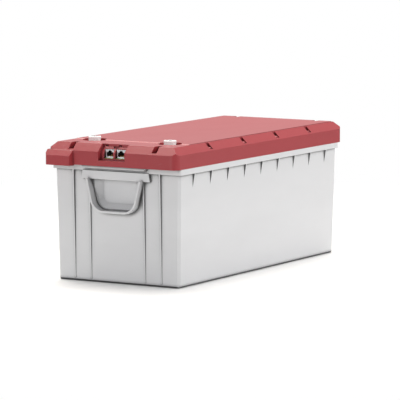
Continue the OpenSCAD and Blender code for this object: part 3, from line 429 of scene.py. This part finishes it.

# In the moulded finishes, shade is how dark the painted shade in corners gets, and reach how far
# out it spreads
MATERIALS = {
    "case_plastic": moulded("case_plastic", (0.625, 0.628, 0.64), 0.50, grain=0.32, scuffs=0.6,
                            shade=0.85, reach=10 * MM),
    "lid_plastic": moulded("lid_plastic", (0.335, 0.040, 0.047), 0.30, grain=0.10,
                           grain_size=1100, lift=1.25, coat=0.06, mirror=0.38, scuffs=0.35),
    "gasket_rubber": moulded("gasket_rubber", (0.03, 0.03, 0.032), 0.85, grain=0.5),
    "screw_red": moulded("screw_red", (0.40, 0.055, 0.068), 0.30, grain=0.1, lift=1.4,
                         edge_radius=0.3 * MM),
    "terminal_metal": metal("terminal_metal", (0.72, 0.72, 0.73), 0.26, stretch=(1, 1, 30)),
    "bushing_white": moulded("bushing_white", (0.92, 0.92, 0.91), 0.34, grain=0.1,
                             edge_radius=0.4 * MM, lift=1.02, shade=0.3, reach=3 * MM),
    "frame_black": moulded("frame_black", (0.034, 0.030, 0.034), 0.58, grain=0.4, lift=1.4,
                           mirror=0.30, shade=0.3),
    "strap_green": strap_weave("strap_green", (0.30, 0.54, 0.055)),
    "sheet_olive": pressed_sheet("sheet_olive", (0.21, 0.27, 0.065)),
    "cell_blue": cell_film("cell_blue", (0.092, 0.205, 0.425)),
    "busbar_metal": metal("busbar_metal", (0.72, 0.73, 0.74), 0.30, stretch=(8, 0.4, 1)),
    "nut_metal": metal("nut_metal", (0.66, 0.67, 0.68), 0.28, stretch=(1, 1, 12)),
    "insulator_brown": pressed_sheet("insulator_brown", (0.20, 0.045, 0.026)),
    "riser_copper": metal("riser_copper", (0.72, 0.36, 0.20), 0.30, stretch=(6, 1, 1),
                          tarnish=0.35),
    "bracket_black": moulded("bracket_black", (0.025, 0.025, 0.027), 0.55, grain=0.55,
                             grain_size=700, lift=1.8),
    "pad_yellow": pressed_sheet("pad_yellow", (0.68, 0.48, 0.06)),
    "post_white": moulded("post_white", (0.78, 0.78, 0.75), 0.45, grain=0.15),
    "screw_zinc": metal("screw_zinc", (0.62, 0.68, 0.74), 0.25, stretch=(1, 1, 10)),
    "tray_aluminium": metal("tray_aluminium", (0.66, 0.68, 0.69), 0.36, stretch=(12, 0.5, 1)),
    "spacer_brass": metal("spacer_brass", (0.68, 0.50, 0.20), 0.28, stretch=(1, 1, 14)),
    "board_green": solder_mask("board_green", (0.03, 0.20, 0.055), MANAGEMENT_BOARD_TOP,
                               (0.035, 0.035, 0.038)),
    "plug_white": moulded("plug_white", (0.84, 0.84, 0.81), 0.36, grain=0.1,
                          edge_radius=0.3 * MM),
    "board_light_green": solder_mask("board_light_green", (0.12, 0.46, 0.035), SMALL_BOARD_TOP,
                                     (0.03, 0.03, 0.03)),
    "jack_metal": jack_shell("jack_metal"),
    "board_dark_green": solder_mask("board_dark_green", (0.035, 0.125, 0.03), RADIO_BOARD_TOP,
                                    (0.05, 0.2, 0.05)),
    "plug_black": moulded("plug_black", (0.02, 0.02, 0.022), 0.45, grain=0.25,
                          edge_radius=0.3 * MM, lift=2.0),
}


def dress_nodes():
    """Gives each CAD node the finish of its material slot in the record."""
    slot_of = {part["node"]: part["material_slot"] for part in frame["record"]["subparts"]}
    for name, node in frame["nodes"].items():
        node.data.materials.clear()
        node.data.materials.append(MATERIALS[slot_of[name]])


# Floor and world

FLOOR_RADIUS = 30
# Just under the case, so that the two faces don't share a plane
FLOOR_LEVEL = -0.2 * MM
# The floor fades from paper to plain glow between these distances from the middle
FADE_START, FADE_END = 0.30, 1.30
PAPER_DARK, PAPER_PALE = (0.86, 0.86, 0.86), (0.90, 0.90, 0.90)
# What the floor sends back to the battery, as paper and as glow, where the camera sees white
FLOOR_BOUNCE = (0.74, 0.74, 0.74)
FLOOR_GLOW = (0.45, 0.45, 0.45)
WHITE = (1.0, 1.0, 1.0)
SKY = (0.27, 0.27, 0.275)
# Share of the white backdrop that glossy faces mirror
MIRRORED_SHARE = 0.3


def add_floor():
    bpy.ops.mesh.primitive_circle_add(vertices=96, radius=FLOOR_RADIUS, fill_type="NGON",
                                      location=(0, 0, FLOOR_LEVEL))
    floor = bpy.context.object
    floor.name = "floor"
    s = Surface("floor_paper")
    from_middle = calculate("SQRT", s.x * s.x + s.y * s.y)
    seen = s.node("ShaderNodeLightPath", "Is Camera Ray")
    paper = s.mix(s.noise(300, detail=2, rough=0.5), PAPER_DARK, PAPER_PALE)
    s.finish(s.mix(seen, FLOOR_BOUNCE, paper), roughness=0.85)
    glow = s.node("ShaderNodeEmission", "Emission", {},
                  {"Color": s.mix(seen, FLOOR_GLOW, WHITE), "Strength": 1.0})
    faded = s.node("ShaderNodeMixShader", "Shader", {},
                   {"Fac": from_middle.smooth(FADE_START, FADE_END),
                    "Shader": Value(s.tree, s.shader.outputs["BSDF"]), "Shader_001": glow})
    plug(s.tree, s.tree.nodes["Material Output"].inputs["Surface"], faded)
    floor.data.materials.append(s.material)
    floor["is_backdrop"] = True


def set_world():
    world = bpy.data.worlds.new("studio")
    bpy.context.scene.world = world
    world.use_nodes = True
    tree = world.node_tree
    seen, mirrored, through = (
        add_node(tree, "ShaderNodeLightPath", ray)
        for ray in ("Is Camera Ray", "Is Glossy Ray", "Is Transmission Ray"))
    backdrop = add_node(
        tree, "ShaderNodeMix", "Result_Color", {"data_type": "RGBA"},
        {"Factor_Float": (seen + mirrored * MIRRORED_SHARE + through).at_most(1.0),
         "A_Color": SKY, "B_Color": WHITE})
    plug(tree, tree.nodes["Background"].inputs["Color"], backdrop)


add_camera()
bpy.context.scene.view_settings.view_transform = "Standard"
set_world()
for softbox in SOFTBOXES:
    add_softbox(*softbox)
add_floor()
dress_nodes()


# Fine pieces

# Inside thread of the terminals, M8 coarse
THREAD_LENGTH, THREAD_RADIUS = 15 * MM, 3.4 * MM
THREAD_PITCH, THREAD_DEPTH = 1.25 * MM, 0.35 * MM
THREAD_START = 1.0 * MM
THREAD_STEPS = 32
# Half widths of the ridge at its root and crest, in pitches, and how far its root sinks in
ROOT_HALF, CREST_HALF = 0.44, 0.06
ROOT_SINK = 0.02 * MM


def thread_mesh(name, centre, top):
    """One helical ridge whose crest points to the axis, run out at both ends."""
    mesh = bpy.data.meshes.new(name)
    bm = bmesh.new()
    count = int(THREAD_LENGTH / THREAD_PITCH * THREAD_STEPS)
    rows = []
    for i in range(count + 1):
        angle = 2 * math.pi * i / THREAD_STEPS
        z = top - i / THREAD_STEPS * THREAD_PITCH
        crest = -THREAD_DEPTH * min(1.0, i / THREAD_STEPS * 2, (count - i) / THREAD_STEPS * 2)
        row = []
        for out, up in ((ROOT_SINK, ROOT_HALF), (crest, CREST_HALF),
                        (crest, -CREST_HALF), (ROOT_SINK, -ROOT_HALF)):
            r = THREAD_RADIUS + out
            row.append(bm.verts.new((centre[0] + r * math.cos(angle),
                                     centre[1] + r * math.sin(angle), z + up * THREAD_PITCH)))
        rows.append(row)
    for a, b in zip(rows, rows[1:]):
        for j in range(len(a) - 1):
            bm.faces.new((a[j], b[j], b[j + 1], a[j + 1]))
    bm.normal_update()
    bm.to_mesh(mesh)
    bm.free()
    for face in mesh.polygons:
        face.use_smooth = True
    return mesh


def piece(name, mesh, slot_name):
    """A piece of the object with a finish from the record's slots."""
    made = bpy.data.objects.new(name, mesh)
    bpy.context.scene.collection.objects.link(made)
    mesh.materials.append(MATERIALS[slot_name])
    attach(made, "root")


thread_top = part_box("terminal_positive")[1][2] - THREAD_START
for label in ("positive", "negative"):
    low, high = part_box("bushing_" + label)
    middle = ((low[0] + high[0]) / 2, (low[1] + high[1]) / 2)
    name = "terminal_thread_" + label
    piece(name, thread_mesh(name, middle, thread_top), "terminal_metal")

low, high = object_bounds()
